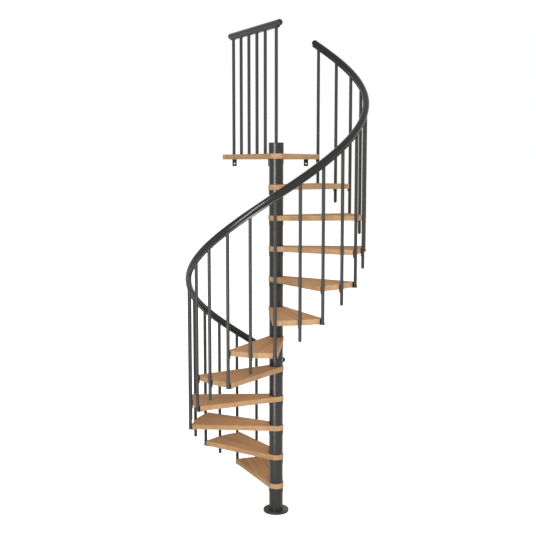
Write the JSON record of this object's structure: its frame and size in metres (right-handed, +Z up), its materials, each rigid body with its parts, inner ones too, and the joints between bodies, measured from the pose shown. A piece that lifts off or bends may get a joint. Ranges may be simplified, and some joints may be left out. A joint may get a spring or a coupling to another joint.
{
  "type": "spiral staircase",
  "caption": "Spiral staircase with wedge-shaped wooden treads stacked on a round steel column, steel balusters, a helical handrail and a top landing.",
  "frame": {"origin": "centre of the base plate's underside, on the floor", "axes": "+Z up along the column's axis; +Y square to the landing's straight edge, which lies along X; the stair climbs anticlockwise seen from above"},
  "size_m": [1.3984, 1.4362, 3.812],
  "materials": {
    "beech": "satin lacquered beech",
    "coated_steel": "satin anthracite powder coat",
    "strip_steel": "matt anthracite powder coat",
    "rail_plastic": "smooth anthracite vinyl",
    "fittings": "moulded black plastic"
  },
  "bodies": {
    "root": {"base_plate": "coated_steel", "inner_post": "coated_steel", "column_cap": "coated_steel", "spacer_1": "coated_steel", "spacer_2": "coated_steel", "spacer_3": "coated_steel", "spacer_4": "coated_steel", "spacer_5": "coated_steel", "spacer_6": "coated_steel", "spacer_7": "coated_steel", "spacer_8": "coated_steel", "spacer_9": "coated_steel", "spacer_10": "coated_steel", "spacer_11": "coated_steel", "spacer_12": "coated_steel", "tread_1": "beech", "tread_2": "beech", "tread_3": "beech", "tread_4": "beech", "tread_5": "beech", "tread_6": "beech", "tread_7": "beech", "tread_8": "beech", "tread_9": "beech", "tread_10": "beech", "tread_11": "beech", "landing": "beech", "wall_brackets": "coated_steel", "long_balusters": "coated_steel", "mid_balusters": "coated_steel", "foot_brackets": "fittings", "baluster_clips": "fittings", "handrail_1": "rail_plastic", "handrail_2": "rail_plastic", "handrail_3": "rail_plastic", "handrail_4": "rail_plastic", "rail_strip_1": "strip_steel", "rail_strip_2": "strip_steel", "rail_strip_3": "strip_steel", "rail_strip_4": "strip_steel", "landing_balusters": "coated_steel", "landing_rail": "rail_plastic", "landing_rail_strip": "strip_steel", "rail_end_caps": "fittings"}
  },
  "joints": []
}
